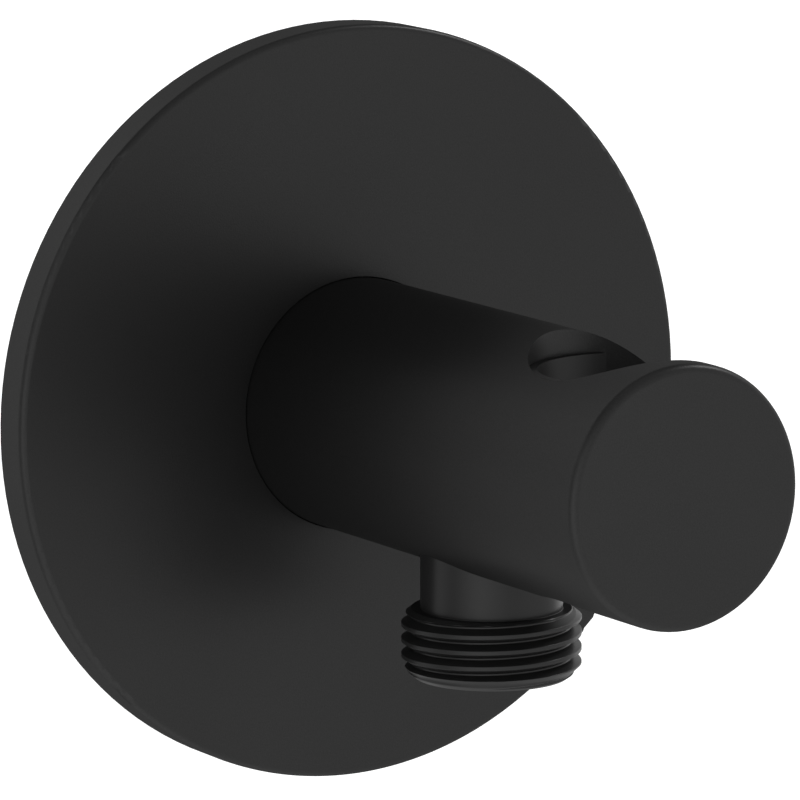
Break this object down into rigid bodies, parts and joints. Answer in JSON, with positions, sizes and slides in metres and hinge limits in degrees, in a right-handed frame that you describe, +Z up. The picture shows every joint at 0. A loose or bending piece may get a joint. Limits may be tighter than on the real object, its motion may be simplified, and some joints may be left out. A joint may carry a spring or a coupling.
{
  "type": "wall outlet elbow",
  "caption": "Shower wall outlet: a flat round rose, a round bar with an upright hand-shower holder hole open at one side, a hose thread below and a sprung check valve inside.",
  "frame": {"origin": "centre of the rose's wall face, on the bar's axis", "axes": "+Y into the wall, -Y out along the bar, +Z up, and +X towards the holder hole's open side"},
  "size_m": [0.09, 0.089, 0.09],
  "materials": {
    "rose_coating": "matte black powder coat with a very fine grain",
    "bar_coating": "matte black powder coat with a very fine grain",
    "outlet_coating": "satin black coat, smoother than the bar's",
    "liner_plastic": "matte black moulded plastic",
    "gasket_foam": "dense closed-cell foam",
    "seal_rubber": "smooth black rubber",
    "raw_brass": "turned brass, uncoated",
    "screw_steel": "bare stainless steel",
    "valve_plastic": "white moulded plastic",
    "poppet_plastic": "blue moulded plastic",
    "spring_steel": "drawn stainless wire"
  },
  "bodies": {
    "elbow": {"rose": "rose_coating", "holder_body": "bar_coating", "outlet_nipple": "outlet_coating", "holder_liner": "liner_plastic", "rose_gasket": "gasket_foam", "rose_ring": "seal_rubber", "inlet_seal_rear": "seal_rubber", "inlet_seal_front": "seal_rubber", "outlet_washer": "seal_rubber", "valve_ring": "seal_rubber", "inlet_nipple": "raw_brass", "lock_screw": "screw_steel", "valve_housing": "valve_plastic", "valve_guide": "valve_plastic", "valve_spring": "spring_steel"},
    "poppet": {"valve_poppet": "poppet_plastic", "valve_seal": "seal_rubber"}
  },
  "joints": [
    {"name": "poppet_slide", "type": "slide", "parent": "elbow", "child": "poppet", "axis": [0, -1, 0], "range_m": [0, 0.003], "stiffness_N_per_m": 85, "springref_m": -0.0025, "deforming": ["valve_spring"]}
  ]
}
